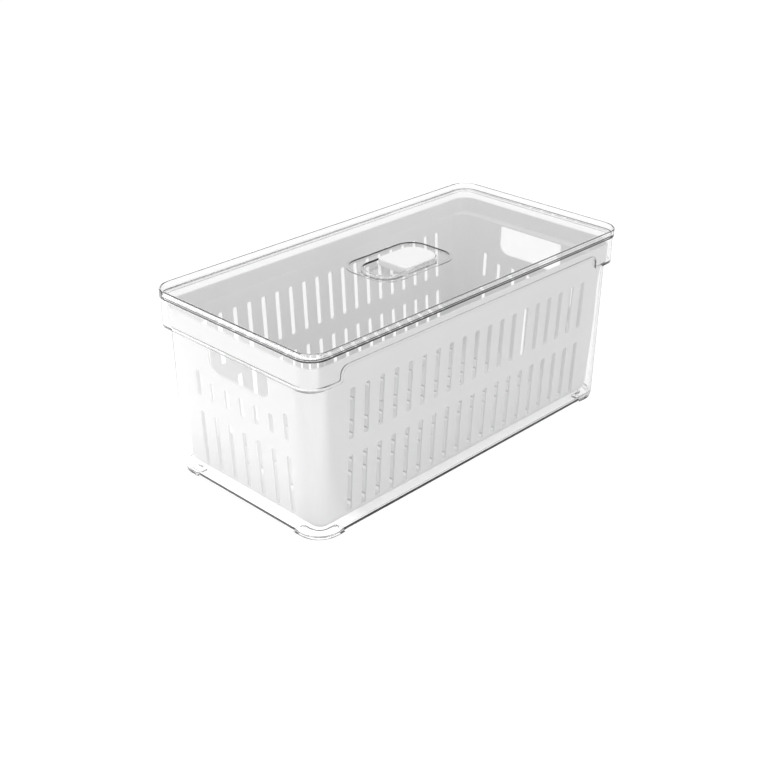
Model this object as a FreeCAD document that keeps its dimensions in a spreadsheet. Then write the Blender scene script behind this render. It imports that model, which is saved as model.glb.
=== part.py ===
import FreeCAD, Part
import os
from types import SimpleNamespace

from Sketcher import Constraint

# A clear fridge bin with a lift-out colander basket, a lid and a sliding air vent.
# X runs along the bin, Y across it and Z up. The origin is on the shelf under the bin's centre.

# Driving dimensions, in millimetres, one named cell each.
SIZES = [
    # lid
    ("lid_length", 315.0),
    ("lid_width", 157.0),
    ("lid_top", 137.5),
    ("lid_corner", 14.0),
    ("lid_round", 0.5),
    ("lip_wall", 1.3),
    ("lip_height", 4.0),
    ("panel_wall", 1.8),
    ("rim_gap", 0.2),
    ("plug_inset", 3.4),
    ("plug_wall", 1.6),
    ("plug_drop", 1.5),
    # vent pocket in the lid
    ("dish_length", 72.0),
    ("dish_width", 46.0),
    ("dish_corner", 14.0),
    ("dish_depth", 0.8),
    ("pocket_length", 58.0),
    ("pocket_width", 29.6),
    ("pocket_corner", 12.0),
    ("pocket_depth", 4.5),
    ("pocket_wall", 1.3),
    ("pocket_floor", 1.5),
    ("vent_hole_length", 5.4),
    ("vent_hole_width", 2.2),
    ("vent_hole_pitch", 3.4),
    ("vent_hole_count", 3),
    ("vent_hole_flat", 0.1),
    ("vent_row_offset", 7.3),
    ("vent_end_margin", 4.3),
    # vent slider
    ("slider_length", 38.2),
    ("slider_rise", 0.5),
    ("slider_gap", 0.3),
    ("slider_lift", 0.2),
    ("slider_travel", 12.0),
    ("slider_nose", 5.0),
    ("slider_round", 1.0),
    ("leg_length", 8.0),
    ("leg_width", 5.4),
    ("leg_wall", 1.6),
    ("leg_gap", 0.3),
    ("barb_reach", 1.2),
    ("barb_height", 1.2),
    # bin
    ("bin_wall", 1.5),
    ("bin_floor", 1.5),
    ("bin_round", 1.5),
    ("bin_fillet", 2.5),
    ("tub_corner", 18.5),
    ("end_step", 2.7),
    ("side_step", 0.9),
    ("end_draft", 2.4),
    ("side_draft", 1.1),
    ("collar_end_inset", 0.3),
    ("collar_side_inset", 1.4),
    ("collar_corner", 13.0),
    ("collar_deep", 20.5),
    ("collar_shallow", 11.0),
    ("collar_return", 28.3),
    ("relief_round", 5.0),
    ("relief_flare", 2.8),
    # corner feet of the bin
    ("foot_height", 1.8),
    ("foot_inset", 0.8),
    ("foot_width", 10.0),
    ("foot_leg", 25.0),
    ("groove_inset", 5.0),
    ("groove_width", 4.2),
    ("groove_leg", 23.5),
    ("groove_round", 1.9),
    # basket
    ("basket_wall", 1.4),
    ("basket_floor", 1.3),
    ("basket_lift", 0.4),
    ("basket_draft", 5.9),
    ("basket_round", 8.0),
    ("basket_corner", 15.0),
    ("end_gap", 2.9),
    ("side_gap", 0.8),
    ("band_end_gap", 1.8),
    ("band_side_gap", 0.6),
    ("band_height", 12.8),
    ("band_corner", 12.0),
    ("ledge_rise", 1.8),
    # slots of the basket
    ("slot_width", 4.5),
    ("end_slot_width", 4.0),
    ("slot_round", 1.6),
    ("column_pitch", 13.18),
    ("column_count", 19),
    ("end_pitch", 14.72),
    ("end_count", 7),
    ("top_margin", 9.6),
    ("bottom_margin", 6.3),
    ("row_gap", 12.1),
    ("lower_row", 43.0),
    ("floor_row", 24.0),
    ("floor_row_gap", 17.0),
    ("floor_edge_row", 13.0),
    # hand holes of the basket
    ("handle_width", 60.5),
    ("handle_height", 22.5),
    ("handle_corner", 9.0),
    ("handle_drop", 1.2),
    ("handle_web", 9.5),
    ("end_slot_rise", 5.7),
    # how far a cutting shape runs past the surface that it opens
    ("overrun", 1.0),
]


class Size:
    """A length that carries its value and the spreadsheet expression that it comes from."""

    def __init__(self, value, text):
        self.value = float(value)
        self.text = text

    def __add__(self, other):
        other = as_size(other)
        return Size(self.value + other.value, f"({self.text} + {other.text})")

    def __sub__(self, other):
        other = as_size(other)
        return Size(self.value - other.value, f"({self.text} - {other.text})")

    def __mul__(self, other):
        other = as_size(other)
        return Size(self.value * other.value, f"({self.text} * {other.text})")

    def __truediv__(self, other):
        other = as_size(other)
        return Size(self.value / other.value, f"({self.text} / {other.text})")

    def __neg__(self):
        return Size(-self.value, f"(-1 * {self.text})")


def as_size(item):
    return item if isinstance(item, Size) else Size(item, str(item))


doc = FreeCAD.newDocument("fridge_bin")
sheet = doc.addObject("Spreadsheet::Sheet", "dims")
for row, (alias, value) in enumerate(SIZES, start=1):
    sheet.set(f"A{row}", alias)
    sheet.set(f"B{row}", str(value))
    sheet.setAlias(f"B{row}", alias)
doc.recompute()
dims = SimpleNamespace(**{alias: Size(value, f"dims.{alias}") for alias, value in SIZES})
ZERO = as_size(0)

# heights
PANEL_Z = dims.lid_top - dims.lip_height
PANEL_LOW_Z = PANEL_Z - dims.panel_wall
PLUG_Z = PANEL_LOW_Z - dims.plug_drop
RIM_Z = PANEL_LOW_Z - dims.rim_gap
COLLAR_Z = RIM_Z - dims.collar_deep
RELIEF_Z = RIM_Z - dims.collar_shallow
FLOOR_Z = dims.foot_height + dims.bin_floor
SEAT_Z = COLLAR_Z + dims.bin_wall
BASKET_Z = FLOOR_Z + dims.basket_lift
POCKET_Z = PANEL_Z - dims.pocket_depth
POCKET_LOW_Z = POCKET_Z - dims.pocket_floor
BARB_Z = POCKET_LOW_Z - dims.leg_gap - dims.barb_height


def grown(half_sizes, *amounts):
    """Half length and half width, each made larger by its own amount, or both by the same one."""
    along, across = amounts if len(amounts) == 2 else amounts * 2
    return half_sizes[0] + along, half_sizes[1] + across


def shrunk(half_sizes, *amounts):
    return grown(half_sizes, *(-as_size(amount) for amount in amounts))


# half length and half width of each outline
LID = (dims.lid_length / 2, dims.lid_width / 2)
COLLAR = shrunk(LID, dims.collar_end_inset, dims.collar_side_inset)
TUB = shrunk(COLLAR, dims.end_step, dims.side_step)
BASE = shrunk(TUB, dims.end_draft, dims.side_draft)
WALL = shrunk(TUB, dims.bin_wall + dims.end_gap, dims.bin_wall + dims.side_gap)
WALL_BASE = shrunk(WALL, dims.basket_draft)
BAND = (COLLAR[0] - dims.bin_wall - dims.band_end_gap, TUB[1] - dims.bin_wall - dims.band_side_gap)

# middle of the shut slider, which opens towards the other end of the pocket
SLIDER_X = (dims.pocket_length - dims.slider_length) / 2 - dims.slider_gap


def new_body(name):
    body = doc.addObject("PartDesign::Body", name)
    body.Label = name
    doc.recompute()
    return body


def origin_feature(body, role):
    return next(item for item in body.Origin.OriginFeatures if item.Role == role)


def new_sketch(body, name, plane, offset):
    """A sketch on one of the body's origin planes, moved by offset in the sketch's own axes."""
    sketch = body.newObject("Sketcher::SketchObject", name)
    sketch.AttachmentSupport = (origin_feature(body, plane), [""])
    sketch.MapMode = "FlatFace"
    for axis, distance in zip("xyz", offset):
        sketch.setExpression(f"AttachmentOffset.Base.{axis}", distance.text)
    return sketch


def bind(sketch, name, item, size):
    index = sketch.addConstraint(item)
    sketch.renameConstraint(index, name)
    sketch.setExpression(f"Constraints.{name}", size.text)


def add_loop(sketch, prefix, corners):
    """A closed loop of level and upright lines. Each corner is (x, y, radius), radius None if sharp."""
    points = [FreeCAD.Vector(x.value, y.value, 0) for x, y, _ in corners]
    radii = [radius.value if radius else 0.0 for _, _, radius in corners]
    after = points[1:] + points[:1]
    ways = [(end - start).normalize() for start, end in zip(points, after)]
    lines = []
    for i, way in enumerate(ways):
        start = points[i] + way * radii[i]
        end = after[i] - way * radii[(i + 1) % len(corners)]
        lines.append(sketch.addGeometry(Part.LineSegment(start, end)))
    for i, (x, y, radius) in enumerate(corners):
        line = lines[i]
        way_in = ways[i - 1]
        way_out = ways[i]
        level = abs(way_out.y) < abs(way_out.x)
        sketch.addConstraint(Constraint("Horizontal" if level else "Vertical", line))
        kind, place = ("DistanceY", y) if level else ("DistanceX", x)
        bind(sketch, f"{prefix}{i}", Constraint(kind, -1, 1, line, 1, place.value), place)
        if not radius:
            sketch.addConstraint(Constraint("Coincident", lines[i - 1], 2, line, 1))
            continue
        centre = points[i] + (way_out - way_in) * radii[i]
        middle = centre + (way_in - way_out).normalize() * radii[i]
        tips = (points[i] - way_in * radii[i], points[i] + way_out * radii[i])
        arc = sketch.addGeometry(Part.Arc(tips[0], middle, tips[1]))
        arc_start, arc_end = (1, 2) if way_in.cross(way_out).z > 0 else (2, 1)
        sketch.addConstraint(Constraint("Tangent", lines[i - 1], 2, arc, arc_start))
        sketch.addConstraint(Constraint("Tangent", arc, arc_end, line, 1))
        bind(sketch, f"{prefix}{i}round", Constraint("Radius", arc, radii[i]), radius)


def rectangle(half_sizes, radius=None, left_radius=None):
    """Corners of a rectangle about the sketch's origin, anticlockwise from the lower left."""
    x, y = half_sizes
    left = left_radius or radius
    return [(-x, -y, left), (x, -y, radius), (x, y, radius), (-x, y, left)]


def box(low_x, high_x, low_y, high_y, radius=None):
    places = [(low_x, low_y), (high_x, low_y), (high_x, high_y), (low_x, high_y)]
    return [(x, y, radius) for x, y in places]


def sketch_of(body, name, plane, offset, loops):
    sketch = new_sketch(body, name, plane, offset)
    for letter, corners in zip("abcdefgh", loops):
        add_loop(sketch, letter, corners)
    return sketch


def plan(body, name, z, *loops, x=ZERO):
    """A level sketch at height z, with its origin at x, one loop for each list of corners."""
    return sketch_of(body, name, "XY_Plane", (x, ZERO, z), loops)


def finish_feature(body, feature):
    doc.recompute()
    broken = "Invalid" in feature.State or "Error" in feature.State
    if broken or feature.Shape.Volume <= 0:
        raise RuntimeError(f"{body.Label}: {feature.Name} failed: {feature.State}")
    return feature


def pad(body, name, sketch, length):
    feature = body.newObject("PartDesign::Pad", name)
    feature.Profile = sketch
    feature.setExpression("Length", length.text)
    return finish_feature(body, feature)


def pocket(body, name, sketch, depth=None, upward=False):
    """Cut depth below the sketch, or above it if upward, or both ways right through if depth is None."""
    before = body.Shape.Volume
    feature = body.newObject("PartDesign::Pocket", name)
    feature.Profile = sketch
    feature.Refine = False
    if depth:
        feature.setExpression("Length", depth.text)
        feature.Reversed = upward
    else:
        feature.Type = "ThroughAll"
        feature.SideType = "Symmetric"
    finish_feature(body, feature)
    if feature.Shape.Volume >= before:
        raise RuntimeError(f"{body.Label}: {name} cuts nothing")
    return feature


def loft(body, name, lower, upper):
    feature = body.newObject("PartDesign::AdditiveLoft", name)
    feature.Profile = lower
    feature.Sections = [upper]
    feature.Ruled = True
    return finish_feature(body, feature)


def round_level_edges(body, name, z, radius):
    """Round every level edge of the body's tip at height z."""
    base = body.Tip
    names = []
    for i, edge in enumerate(base.Shape.Edges, start=1):
        if max(abs(edge.BoundBox.ZMin - z.value), abs(edge.BoundBox.ZMax - z.value)) < 1e-4:
            names.append(f"Edge{i}")
    feature = body.newObject("PartDesign::Fillet", name)
    feature.Base = (base, names)
    feature.setExpression("Radius", radius.text)
    return finish_feature(body, feature)


def row_of(body, name, features, axis, pitch, count):
    """Repeat features together along an axis, count times at the given pitch."""
    pattern = body.newObject("PartDesign::LinearPattern", name)
    pattern.Originals = features
    pattern.Refine = False
    pattern.Direction = (origin_feature(body, axis), [""])
    pattern.setExpression("Length", (pitch * (count - 1)).text)
    pattern.setExpression("Occurrences", count.text)
    body.Tip = pattern
    return finish_feature(body, pattern)


def hollow_out(body, hollow):
    cut = body.newObject("PartDesign::Boolean", "Hollow")
    cut.Type = "Cut"
    cut.setObjects([hollow])
    return finish_feature(body, cut)


def tub_with_collar(body, inset, low_z, high_z):
    """The bin's outside, or its hollow when inset is the wall: a block for the collar, cut back along
    the sides with an S-shaped step at each end, and the drafted tub below it."""
    collar_z = COLLAR_Z + inset
    outline = rectangle(shrunk(COLLAR, inset), dims.collar_corner - inset)
    pad(body, "Collar", plan(body, "CollarOutline", collar_z, outline), high_z - collar_z)

    reach = dims.lid_length / 2 - dims.collar_return + inset
    flare = dims.relief_flare - inset / 2
    crown = dims.relief_round + inset
    wide = reach + flare * 2
    relief_z = RELIEF_Z + inset
    below = collar_z - dims.overrun
    step = [
        (-wide, below, None),
        (wide, below, None),
        (wide, collar_z, None),
        (reach, collar_z, flare),
        (reach, relief_z, crown),
        (-reach, relief_z, crown),
        (-reach, collar_z, flare),
        (-wide, collar_z, None),
    ]
    pocket(body, "Relief", sketch_of(body, "ReliefOutline", "XZ_Plane", (ZERO, ZERO, ZERO), [step]))

    corner = dims.tub_corner - inset
    base = plan(body, "TubBase", low_z, rectangle(shrunk(BASE, inset), corner))
    top = plan(body, "TubTop", RIM_Z, rectangle(shrunk(TUB, inset), corner))
    loft(body, "Tub", base, top)


def corner_ells(inset, width, leg, end_round=None):
    """L-shaped outlines in the four corners of the tub's base, inset from its outside."""
    outer_x, outer_y = shrunk(BASE, inset)
    inner_x, inner_y = shrunk(BASE, inset + width)
    end_x, end_y = shrunk(BASE, leg)
    outer_round = dims.tub_corner - inset
    ell = [
        (outer_x, outer_y, outer_round),
        (outer_x, end_y, end_round),
        (inner_x, end_y, end_round),
        (inner_x, inner_y, outer_round - width),
        (end_x, inner_y, end_round),
        (end_x, outer_y, end_round),
    ]
    return [
        ell,
        [(-x, y, radius) for x, y, radius in ell],
        [(x, -y, radius) for x, y, radius in ell],
        [(-x, -y, radius) for x, y, radius in ell],
    ]


def make_bin():
    """Clear tub, drafted walls, stepped-out collar and four corner feet that are cored from inside."""
    hollow = new_body("bin_hollow")
    tub_with_collar(hollow, dims.bin_wall, FLOOR_Z, RIM_Z + dims.overrun)
    round_level_edges(hollow, "FloorRound", FLOOR_Z, dims.bin_fillet)
    cores = corner_ells(dims.groove_inset, dims.groove_width, dims.groove_leg, dims.groove_round)
    pad(hollow, "FootCores", plan(hollow, "FootCoreOutline", dims.foot_height, *cores),
        dims.bin_floor + dims.overrun)

    body = new_body("bin")
    tub_with_collar(body, ZERO, dims.foot_height, RIM_Z)
    round_level_edges(body, "BaseRound", dims.foot_height, dims.bin_round)
    feet = corner_ells(dims.foot_inset, dims.foot_width, dims.foot_leg)
    pad(body, "Feet", plan(body, "FeetOutline", ZERO, *feet), dims.foot_height + dims.bin_floor / 2)
    hollow_out(body, hollow)
    return body


def make_basket():
    """White colander basket: slotted walls and floor, plain band with an inward ledge, two hand holes."""
    wall = dims.basket_wall
    floor_z = BASKET_Z + dims.basket_floor
    ledge_z = SEAT_Z + dims.ledge_rise
    base_corner = dims.basket_corner - dims.basket_draft

    hollow = new_body("basket_hollow")
    inside_base = rectangle(shrunk(WALL_BASE, wall), base_corner - wall)
    inside_top = rectangle(shrunk(WALL, wall), dims.basket_corner - wall)
    inside_band = rectangle(shrunk(BAND, wall), dims.band_corner - wall)
    loft(hollow, "Inside", plan(hollow, "InsideBase", floor_z, inside_base),
         plan(hollow, "InsideTop", SEAT_Z, inside_top))
    loft(hollow, "Ledge", plan(hollow, "LedgeLow", SEAT_Z, inside_top),
         plan(hollow, "LedgeHigh", ledge_z, inside_band))
    pad(hollow, "BandInside", plan(hollow, "BandInsideOutline", ledge_z, inside_band),
        dims.band_height + dims.overrun)
    round_level_edges(hollow, "InsideRound", floor_z, dims.basket_round - wall)

    body = new_body("basket")
    base = plan(body, "WallBase", BASKET_Z, rectangle(WALL_BASE, base_corner))
    top = plan(body, "WallTop", SEAT_Z, rectangle(WALL, dims.basket_corner))
    loft(body, "Walls", base, top)
    band = plan(body, "BandOutline", SEAT_Z, rectangle(BAND, dims.band_corner))
    pad(body, "Band", band, dims.band_height)
    round_level_edges(body, "BaseRound", BASKET_Z, dims.basket_round)
    hollow_out(body, hollow)

    lower_z = BASKET_Z + dims.bottom_margin
    lower_top = lower_z + dims.lower_row
    upper_z = lower_top + dims.row_gap
    upper_top = SEAT_Z - dims.top_margin
    handle_z = SEAT_Z - dims.handle_drop - dims.handle_height
    middle_top = handle_z - dims.handle_web
    outer_top = middle_top + dims.end_slot_rise
    half = dims.handle_width / 2
    hand_hole = [
        (-half, ZERO, dims.handle_corner),
        (half, ZERO, dims.handle_corner),
        (half, dims.handle_height, None),
        (-half, dims.handle_height, None),
    ]
    outline = sketch_of(body, "HandHoleOutline", "YZ_Plane", (ZERO, handle_z, ZERO), [hand_hole])
    pocket(body, "HandHoles", outline)

    inner = dims.end_count - 2
    across = dims.end_pitch * (dims.end_count - 1)
    for name, low, high, pitch, count in (
        ("EndOuterSlots", upper_z, outer_top, across, as_size(2)),
        ("EndMiddleSlots", upper_z, middle_top, dims.end_pitch, inner),
        ("EndLowerSlots", lower_z, lower_top, dims.end_pitch, dims.end_count),
    ):
        first = first_slot(body, name + "First", "YZ_Plane", dims.end_slot_width, low, high, pitch, count)
        row_of(body, name, [first], "Y_Axis", pitch, count)

    columns = (dims.column_pitch, dims.column_count)
    column = [
        first_slot(body, "LowerSlot", "XZ_Plane", dims.slot_width, lower_z, lower_top, *columns),
        first_slot(body, "UpperSlot", "XZ_Plane", dims.slot_width, upper_z, upper_top, *columns),
        floor_slots(body, floor_z, *columns),
    ]
    row_of(body, "Columns", column, "X_Axis", *columns)
    return body


def first_slot(body, name, plane, width, low, high, pitch, count):
    """The first upright slot of a row, with rounded corners, through both facing walls."""
    first = -(pitch * (count - 1) / 2)
    slot = rectangle((width / 2, (high - low) / 2), dims.slot_round)
    outline = sketch_of(body, name + "Outline", plane, (first, (low + high) / 2, ZERO), [slot])
    return pocket(body, name, outline)


def floor_slots(body, floor_z, pitch, count):
    """The floor's first column, in line with the wall slots: two long slots, and a shorter one at each
    edge."""
    half = dims.slot_width / 2
    inner = dims.floor_row_gap / 2
    outer = inner + dims.floor_row + dims.floor_row_gap
    rows = [(inner, inner + dims.floor_row), (outer, outer + dims.floor_edge_row)]
    loops = [box(-half, half, low, high, dims.slot_round) for low, high in rows]
    loops += [box(-half, half, -high, -low, dims.slot_round) for low, high in rows]
    first = -(pitch * (count - 1) / 2)
    sketch = plan(body, "FloorSlotsOutline", floor_z + dims.overrun, *loops, x=first)
    return pocket(body, "FloorSlots", sketch, dims.basket_floor + dims.overrun * 2)


def make_lid():
    """Clear lid: a tray whose flat panel rests over the rim inside an upstanding lip, a ring below it that
    plugs the mouth, and the vent pocket."""
    body = new_body("lid")
    tray = plan(body, "TrayOutline", PANEL_LOW_Z, rectangle(LID, dims.lid_corner))
    pad(body, "Tray", tray, dims.lid_top - PANEL_LOW_Z)
    recess = rectangle(shrunk(LID, dims.lip_wall), dims.lid_corner - dims.lip_wall)
    pocket(body, "Recess", plan(body, "RecessOutline", dims.lid_top, recess), dims.lip_height)
    round_level_edges(body, "LipRound", dims.lid_top, dims.lid_round)

    # ring under the panel
    plug = rectangle(shrunk(LID, dims.plug_inset), dims.lid_corner - dims.plug_inset)
    bore_inset = dims.plug_inset + dims.plug_wall
    bore = rectangle(shrunk(LID, bore_inset), dims.lid_corner - bore_inset)
    pad(body, "Plug", plan(body, "PlugOutline", PLUG_Z, plug, bore), dims.plug_drop)

    dish = (dims.dish_length / 2, dims.dish_width / 2)
    boss = rectangle(grown(dish, dims.panel_wall), dims.dish_corner + dims.panel_wall)
    boss_z = PANEL_LOW_Z - dims.dish_depth
    pad(body, "DishBoss", plan(body, "DishBossOutline", boss_z, boss), PANEL_LOW_Z - boss_z)
    dish_outline = rectangle(dish, dims.dish_corner)
    pocket(body, "Dish", plan(body, "DishOutline", PANEL_Z, dish_outline), dims.dish_depth)

    room = (dims.pocket_length / 2, dims.pocket_width / 2)
    housing = rectangle(grown(room, dims.pocket_wall), dims.pocket_corner + dims.pocket_wall)
    pad(body, "Housing", plan(body, "HousingOutline", POCKET_LOW_Z, housing), boss_z - POCKET_LOW_Z)
    inside = rectangle(room, dims.pocket_corner)
    pocket(body, "Pocket", plan(body, "PocketOutline", PANEL_Z, inside), dims.pocket_depth)

    # long hole that the slider's legs run in
    half_y = dims.leg_width / 2 + dims.leg_gap
    half_x = dims.leg_length / 2 + dims.leg_gap
    track = box(SLIDER_X - dims.slider_travel - half_x, SLIDER_X + half_x, -half_y, half_y)
    through = dims.pocket_floor + dims.overrun
    pocket(body, "Track", plan(body, "TrackOutline", POCKET_Z, track), through)

    # air holes, covered by the slider when it is shut
    radius = dims.vent_hole_width / 2 - dims.vent_hole_flat
    half_x = dims.vent_hole_width / 2
    half_y = dims.vent_hole_length / 2
    row_y = dims.vent_row_offset
    last_x = dims.pocket_length / 2 - dims.vent_end_margin
    first_x = last_x - dims.vent_hole_pitch * (dims.vent_hole_count - 1)
    pair = [
        box(-half_x, half_x, row_y - half_y, row_y + half_y, radius),
        box(-half_x, half_x, -row_y - half_y, -row_y + half_y, radius),
    ]
    one = pocket(body, "VentHolesFirst", plan(body, "VentHoleOutline", POCKET_Z, *pair, x=first_x), through)
    row_of(body, "VentHoles", [one], "X_Axis", dims.vent_hole_pitch, dims.vent_hole_count)
    return body


def make_slider():
    """White vent slider: a block with one nearly round end and two snap legs that hold it in the track."""
    body = new_body("vent_slider")
    bottom = POCKET_Z + dims.slider_lift
    top = PANEL_Z + dims.slider_rise
    block = rectangle((dims.slider_length / 2, dims.pocket_width / 2 - dims.slider_gap),
                      dims.pocket_corner - dims.slider_gap, dims.slider_nose)
    pad(body, "Block", plan(body, "BlockOutline", bottom, block, x=SLIDER_X), top - bottom)
    round_level_edges(body, "TopRound", top, dims.slider_round)

    half_x = dims.leg_length / 2
    outer = dims.leg_width / 2
    inner = outer - dims.leg_wall
    tip = outer + dims.barb_reach
    legs = [box(-half_x, half_x, inner, outer), box(-half_x, half_x, -outer, -inner)]
    barbs = [box(-half_x, half_x, inner, tip), box(-half_x, half_x, -tip, -inner)]
    pad(body, "Legs", plan(body, "LegOutline", BARB_Z, *legs, x=SLIDER_X), bottom - BARB_Z)
    pad(body, "Barbs", plan(body, "BarbOutline", BARB_Z, *barbs, x=SLIDER_X), dims.barb_height)
    return body


pieces = [make_bin(), make_basket(), make_lid(), make_slider()]
doc.recompute()

for item in doc.Objects:
    if "Invalid" in item.State or "Error" in item.State:
        raise RuntimeError(f"{item.Label} is {item.State}")
for piece in pieces:
    shape = piece.Shape
    if shape.isNull() or not shape.isValid() or len(shape.Solids) != 1:
        raise RuntimeError(f"{piece.Label} isn't one valid solid")

os.makedirs("parts", exist_ok=True)
for piece in pieces:
    piece.Shape.exportStep(f"parts/{piece.Label}.step")
    print(piece.Label, round(piece.Shape.Volume / 1000, 2), "cm3", len(piece.Shape.Faces), "faces")
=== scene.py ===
import math

import bmesh
import bpy
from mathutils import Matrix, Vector


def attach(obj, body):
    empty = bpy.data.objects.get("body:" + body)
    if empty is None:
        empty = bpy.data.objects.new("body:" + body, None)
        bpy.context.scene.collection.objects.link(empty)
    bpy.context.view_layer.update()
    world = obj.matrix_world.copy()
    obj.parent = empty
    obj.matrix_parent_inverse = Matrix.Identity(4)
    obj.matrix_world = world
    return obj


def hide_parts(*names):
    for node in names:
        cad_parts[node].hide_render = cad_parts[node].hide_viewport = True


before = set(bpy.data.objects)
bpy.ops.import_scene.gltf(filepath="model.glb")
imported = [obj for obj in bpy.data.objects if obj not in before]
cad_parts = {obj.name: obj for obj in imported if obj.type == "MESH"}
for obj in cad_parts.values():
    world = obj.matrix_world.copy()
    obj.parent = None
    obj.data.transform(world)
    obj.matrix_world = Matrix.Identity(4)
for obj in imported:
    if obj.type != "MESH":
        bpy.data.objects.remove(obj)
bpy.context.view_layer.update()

MM = 0.001

WELD = 0.001 * MM
FLAT_TURN = math.radians(0.2)  # facets that turn less than this are one flat
SHARP_TURN = math.radians(30)  # edges that turn more than this stay sharp
ROUND_TURN = math.radians(40)  # edges that turn more than this get the edge round
STRIP_WIDTH = 3.5 * MM  # the facets of a curve are narrower than this, and flats are wider

FLOOR_GLOW = 0.78
# painted light: extra glow of the sweep, seen in reflections, on the key lamp's side
PAINTED_KEY_GLOW = 1.7


def linear(hex_colour):
    """An sRGB hex colour as linear RGBA."""
    channels = [int(hex_colour[i:i + 2], 16) / 255 for i in (1, 3, 5)]
    return [c / 12.92 if c <= 0.04045 else ((c + 0.055) / 1.055) ** 2.4 for c in channels] + [1.0]


def add(tree, kind, settings=None, **inputs):
    """Add a node. settings are its own fields; inputs are socket values or the sockets that feed them."""
    node = tree.nodes.new(kind)
    for field, value in (settings or {}).items():
        setattr(node, field, value)
    for name, value in inputs.items():
        socket = node.inputs[int(name[1:])] if name[1:].isdigit() else node.inputs[name.replace("_", " ")]
        if isinstance(value, bpy.types.NodeSocket):
            tree.links.new(value, socket)
        else:
            socket.default_value = value
    return node


def new_material(name):
    material = bpy.data.materials.new(name)
    material.use_nodes = True
    material.node_tree.nodes.clear()
    return material, material.node_tree


def clear_moulded(name, tint, density, painted_edge_shade=None):
    """Injection-moulded clear styrene: polished walls with the faint waviness that moulding leaves,
    and edges that darken where light runs along inside the wall. The last argument, where given, is a
    painted
    shade: the colour that a wall's base colour is darkened to where the wall is seen edge-on, in place of
    the dark outline that light sent sideways out of the bright field gives."""
    material, tree = new_material(name)
    place = add(tree, "ShaderNodeTexCoord").outputs["Object"]
    # sink waves about 45 mm across, too shallow to see except where they bend a reflection
    waves = add(tree, "ShaderNodeTexNoise", Vector=place, Scale=22.0, Detail=1.0).outputs["Fac"]
    bump = add(tree, "ShaderNodeBump", Height=waves, Strength=0.06, Distance=0.6 * MM)
    # handling haze in patches of about 20 mm
    haze = add(tree, "ShaderNodeTexNoise", Vector=place, Scale=50.0, Detail=3.0).outputs["Fac"]
    rough = add(tree, "ShaderNodeMapRange", Value=haze, From_Min=0.35, From_Max=0.75,
                To_Min=0.005, To_Max=0.03)
    plastic = add(
        tree, "ShaderNodeBsdfPrincipled", Base_Color=linear(tint), Roughness=rough.outputs["Result"],
        IOR=1.5, Transmission_Weight=1.0, Normal=bump.outputs["Normal"],
    )
    if painted_edge_shade:
        # painted shade: where a rounded wall is seen edge-on its base colour is darkened, standing in for
        # the dark outline that light sent sideways out of the bright field gives
        turn = add(tree, "ShaderNodeLayerWeight", Blend=0.5).outputs["Facing"]
        painted_edge_shade_mask = add(tree, "ShaderNodeMapRange", Value=turn, From_Min=0.66, From_Max=0.88)
        tone = add(tree, "ShaderNodeMix", {"data_type": "RGBA"}, _0=painted_edge_shade_mask.outputs["Result"],
                   _6=linear(tint), _7=linear(painted_edge_shade))
        tree.links.new(tone.outputs[2], plastic.inputs["Base Color"])
    # lamps and bounced light pass straight through, so that the basket inside is evenly lit
    path = add(tree, "ShaderNodeLightPath").outputs
    veil = add(tree, "ShaderNodeBsdfTransparent", Color=linear("#FAFAFA"))
    lamps = add(tree, "ShaderNodeMixShader", _0=path["Is Shadow Ray"], _1=plastic.outputs[0],
                _2=veil.outputs[0])
    soft = add(tree, "ShaderNodeMixShader", _0=path["Is Diffuse Ray"], _1=lamps.outputs[0],
               _2=veil.outputs[0])
    inside = add(tree, "ShaderNodeVolumeAbsorption", Color=linear("#D2D2D2"), Density=density)
    add(tree, "ShaderNodeOutputMaterial", Surface=soft.outputs[0], Volume=inside.outputs[0])
    return material


def white_moulded(name, colour, rough_low, rough_high, grain_mm):
    """Injection-moulded white plastic with a fine spark-eroded grain, a little uneven in gloss."""
    material, tree = new_material(name)
    place = add(tree, "ShaderNodeTexCoord").outputs["Object"]
    # grain of the mould's surface, drawn as fine as it still shows
    grain = add(tree, "ShaderNodeTexNoise", Vector=place, Scale=1 / (grain_mm * MM),
                Detail=2.0).outputs["Fac"]
    bump = add(tree, "ShaderNodeBump", Height=grain, Strength=0.12, Distance=0.05 * MM)
    # flow of the melt, in patches of about 70 mm, that shifts the gloss and the tone a little
    flow = add(tree, "ShaderNodeTexNoise", Vector=place, Scale=14.0, Detail=2.0).outputs["Fac"]
    rough = add(tree, "ShaderNodeMapRange", Value=flow, To_Min=rough_low, To_Max=rough_high)
    shade = add(tree, "ShaderNodeMapRange", Value=flow, From_Min=0.3, From_Max=0.7,
                To_Min=0.975, To_Max=1.0)
    tone = add(tree, "ShaderNodeMix", {"data_type": "RGBA", "blend_type": "MULTIPLY"}, _0=1.0,
               _6=linear(colour), _7=shade.outputs["Result"])
    plastic = add(
        tree, "ShaderNodeBsdfPrincipled", Base_Color=tone.outputs[2], Roughness=rough.outputs["Result"],
        IOR=1.49, Normal=bump.outputs["Normal"],
    )
    add(tree, "ShaderNodeOutputMaterial", Surface=plastic.outputs[0])
    return material


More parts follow.
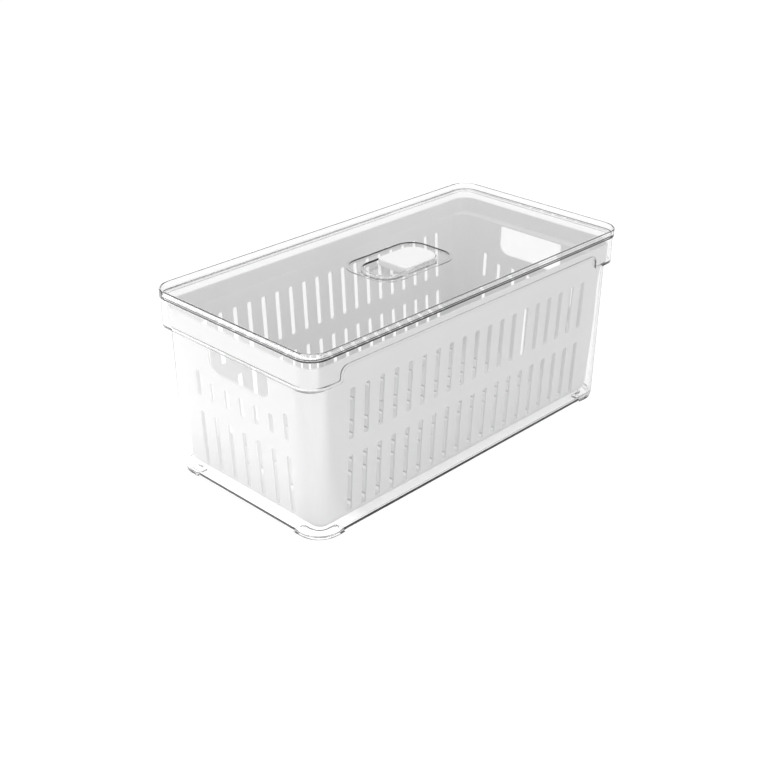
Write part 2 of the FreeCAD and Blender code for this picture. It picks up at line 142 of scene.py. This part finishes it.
def floor_material():
    """White sweep: shows as white, keeps a soft shadow, and bounces light as matt white paper does.
    On the key lamp's side it glows brighter still in reflections: painted light, an emitted pool that
    stands in for paper over-lit by the key lamp."""
    material, tree = new_material("white_paper_sweep")
    path = add(tree, "ShaderNodeLightPath").outputs
    place = add(tree, "ShaderNodeTexCoord").outputs["Object"]
    along = add(tree, "ShaderNodeSeparateXYZ", Vector=place).outputs["X"]
    # painted light: reflections of the sweep glow brighter towards the key lamp's side, in place of the
    # lamp's pool of light
    painted_key_glow = add(tree, "ShaderNodeMapRange", Value=along, From_Min=-0.10, From_Max=-0.20,
                   To_Min=0.0, To_Max=PAINTED_KEY_GLOW)
    painted_key_reflection = add(tree, "ShaderNodeMath", {"operation": "MULTIPLY"}, _0=painted_key_glow.outputs["Result"],
                _1=path["Is Glossy Ray"])
    strength = add(tree, "ShaderNodeMath", {"operation": "ADD"}, _0=painted_key_reflection.outputs[0], _1=FLOOR_GLOW)
    paper = add(tree, "ShaderNodeBsdfDiffuse", Color=linear("#E6E6E6"))
    dim = add(tree, "ShaderNodeBsdfDiffuse", Color=linear("#A6A6A6"))
    glow = add(tree, "ShaderNodeEmission", Color=(1, 1, 1, 1), Strength=strength.outputs[0])
    shown = add(tree, "ShaderNodeAddShader", _0=dim.outputs[0], _1=glow.outputs[0])
    seen = add(tree, "ShaderNodeMixShader", _0=path["Is Diffuse Ray"], _1=shown.outputs[0],
               _2=paper.outputs[0])
    add(tree, "ShaderNodeOutputMaterial", Surface=seen.outputs[0])
    return material


def light_world():
    """A studio: white to the camera. Gloss and glass see a white backdrop behind the bin, up to head
    height, and a dark room above it and on the near side. The fill light is weaker overhead."""
    world = bpy.data.worlds.new("studio")
    bpy.context.scene.world = world
    world.use_nodes = True
    tree = world.node_tree
    tree.nodes.clear()
    path = add(tree, "ShaderNodeLightPath").outputs
    way = add(tree, "ShaderNodeTexCoord").outputs["Generated"]
    height = add(tree, "ShaderNodeSeparateXYZ", Vector=way).outputs["Z"]
    back = add(tree, "ShaderNodeVectorMath", {"operation": "DOT_PRODUCT"}, _0=way, _1=(-0.32, -0.32, 1.0))
    dark = add(tree, "ShaderNodeMapRange", Value=back.outputs["Value"], From_Min=0.12, From_Max=0.45,
               To_Min=1.0, To_Max=0.12)
    seen = add(tree, "ShaderNodeBackground", Color=dark.outputs["Result"], Strength=1.0)
    white = add(tree, "ShaderNodeBackground", Color=(1, 1, 1, 1), Strength=1.0)
    level = add(tree, "ShaderNodeMapRange", Value=height, From_Min=0.1, From_Max=0.9,
                To_Min=0.92, To_Max=0.44)
    fill = add(tree, "ShaderNodeBackground", Color=level.outputs["Result"], Strength=1.0)
    soft = add(tree, "ShaderNodeMixShader", _0=path["Is Diffuse Ray"], _1=seen.outputs[0],
               _2=fill.outputs[0])
    final = add(tree, "ShaderNodeMixShader", _0=path["Is Camera Ray"], _1=soft.outputs[0],
                _2=white.outputs[0])
    add(tree, "ShaderNodeOutputWorld", Surface=final.outputs[0])


def area_lamp(name, place, aim, size, power):
    lamp = bpy.data.lights.new(name, "AREA")
    lamp.size = size
    lamp.energy = power
    rig = bpy.data.objects.new(name, lamp)
    rig.location = place
    rig.rotation_euler = (Vector(aim) - Vector(place)).to_track_quat("-Z", "Y").to_euler()
    bpy.context.scene.collection.objects.link(rig)


def shade_curves(shape):
    """Shade only curved walls smooth: they come as narrow strips, and flats as wider areas."""
    seen = set()
    for first in shape.faces:
        if first in seen:
            continue
        seen.add(first)
        area = [first]
        for face in area:
            for edge in face.edges:
                level = edge.calc_face_angle(1.0) < FLAT_TURN
                fresh = [other for other in edge.link_faces if level and other not in seen]
                seen.update(fresh)
                area.extend(fresh)
        longest = max(edge.calc_length() for face in area for edge in face.edges)
        width = sum(face.calc_area() for face in area) / longest
        for face in area:
            face.smooth = width < STRIP_WIDTH
    for edge in shape.edges:
        edge.smooth = edge.calc_face_angle(0.0) < SHARP_TURN


def finer_copy(node, material, edge_mm):
    """A welded copy of a CAD piece: curves smooth, flats flat, and the tiny edge round of a moulding
    where edge_mm isn't 0."""
    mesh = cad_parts[node].data.copy()
    shape = bmesh.new()
    shape.from_mesh(mesh)
    bmesh.ops.remove_doubles(shape, verts=shape.verts, dist=WELD)
    if edge_mm:
        # one face to each flat, so that the edge round leaves no crease across it
        bmesh.ops.dissolve_limit(shape, angle_limit=FLAT_TURN, verts=shape.verts, edges=shape.edges)
    shade_curves(shape)
    shape.to_mesh(mesh)
    shape.free()
    mesh.materials.clear()
    mesh.materials.append(material)
    for polygon in mesh.polygons:
        polygon.material_index = 0
    piece = bpy.data.objects.new(node + "_moulded", mesh)
    bpy.context.scene.collection.objects.link(piece)
    if edge_mm:
        bevel = piece.modifiers.new("edge_round", "BEVEL")
        bevel.width = edge_mm * MM
        bevel.segments = 2
        bevel.limit_method = "ANGLE"
        bevel.angle_limit = ROUND_TURN
        bevel.use_clamp_overlap = False
    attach(piece, node)
    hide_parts(node)
    return piece


# camera, turned to the object's own box
camera = bpy.data.cameras.new("camera")
camera.lens = 59.76
camera.sensor_width = 36.0
camera.clip_end = 50.0
eye = bpy.data.objects.new("camera", camera)
eye.location = (-0.6074, -0.5811, 0.4657)
aim = Vector((-0.01093, 0.00468, 0.03767))
eye.rotation_euler = (aim - eye.location).to_track_quat("-Z", "Y").to_euler()
bpy.context.scene.collection.objects.link(eye)
bpy.context.scene.camera = eye

light_world()
for name, place, target, size, power in (
    ("key", (-1.4, -0.1, 0.5), (0, 0, 0.05), 0.9, 3.0),
    ("top", (0.2, 0.1, 1.5), (0, 0, 0.1), 1.0, 6.0),
    ("front", (0.1, -1.4, 0.7), (0, 0, 0.05), 0.9, 3.4),
):
    area_lamp(name, place, target, size, power)

# a hair below the feet, so that their undersides and the floor don't share a plane
bpy.ops.mesh.primitive_plane_add(size=40.0, location=(0, 0, -0.2 * MM))
sweep = bpy.context.object
sweep.name = "floor"
sweep.data.materials.append(floor_material())

# the bin's clear styrene gets a painted dark outline (#080808) where its walls are seen edge-on
clear_body = clear_moulded("clear_styrene_bin", "#FEFEFE", 50.0, "#080808")
clear_lid = clear_moulded("clear_styrene_lid", "#FEFEFE", 80.0)
basket_white = white_moulded("white_polypropylene_basket", "#F2F2F2", 0.38, 0.52, 0.5)
slider_white = white_moulded("white_abs_slider", "#FDFDFD", 0.22, 0.32, 0.4)

for node, material, slot, edge_mm in (
    ("bin", clear_body, "bin_clear", 0.2),
    ("basket", basket_white, "basket_white", 0.0),
    ("lid", clear_lid, "lid_clear", 0.0),
    ("vent_slider", slider_white, "slider_white", 0.0),
):
    finer_copy(node, material, edge_mm)

bpy.context.scene.view_settings.view_transform = "Standard"
